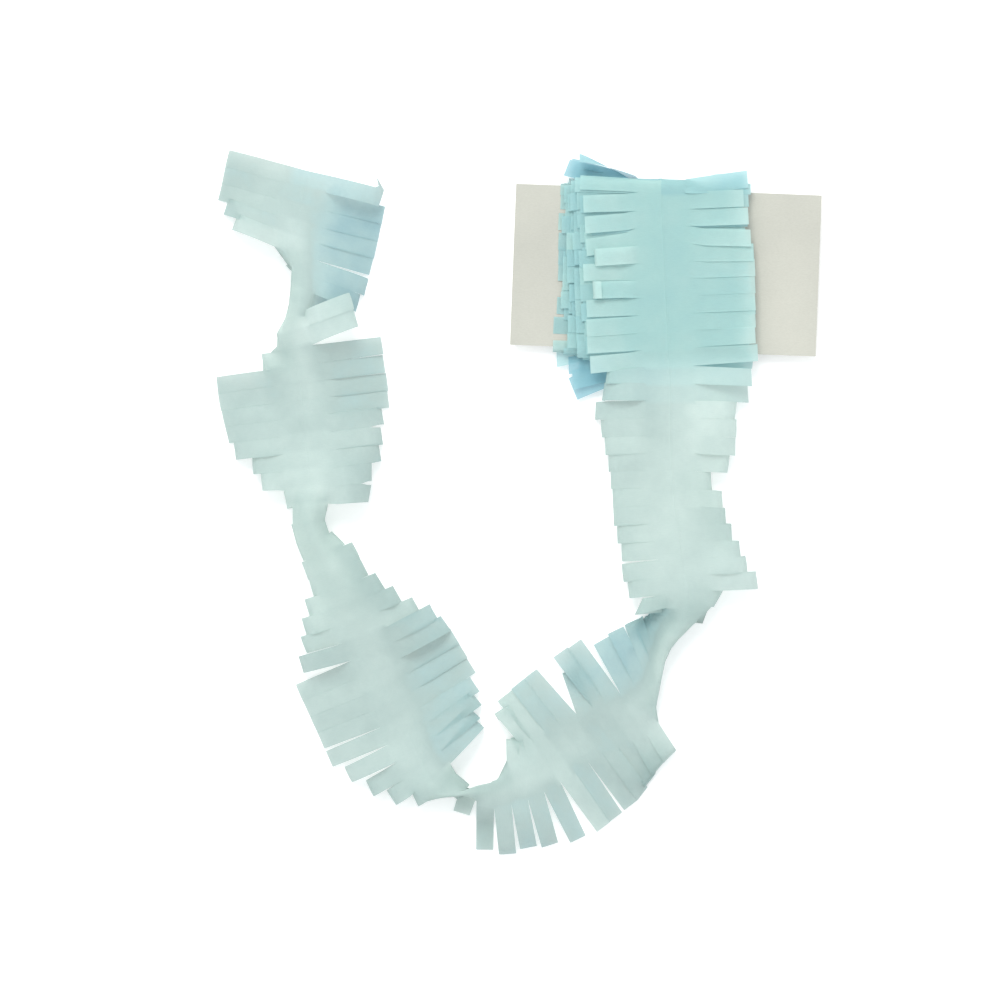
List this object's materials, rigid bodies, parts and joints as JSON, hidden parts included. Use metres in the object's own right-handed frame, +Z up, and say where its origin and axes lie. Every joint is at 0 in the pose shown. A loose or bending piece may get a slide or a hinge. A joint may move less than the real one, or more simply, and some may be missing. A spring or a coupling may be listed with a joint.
{
  "type": "tissue paper fringe garland",
  "caption": "Pale aqua tissue paper fringe garland, part wound round a plain white card, with its free run lying beside it in a twisting U.",
  "frame": {"origin": "on the table under the middle of the whole object as it lies", "axes": "+Z up from the table, +X along the card's length to its right end, +Y the way the card's upper edge and the free end of the strip point"},
  "size_m": [0.3676, 0.4277, 0.0249],
  "materials": {
    "tissue": "thin matt tissue, slightly see-through, bluer where layers lie on each other",
    "card": "uncoated off-white board, matt"
  },
  "bodies": {
    "root": {"fringe_garland": "tissue", "winding_card": "card"}
  },
  "joints": []
}
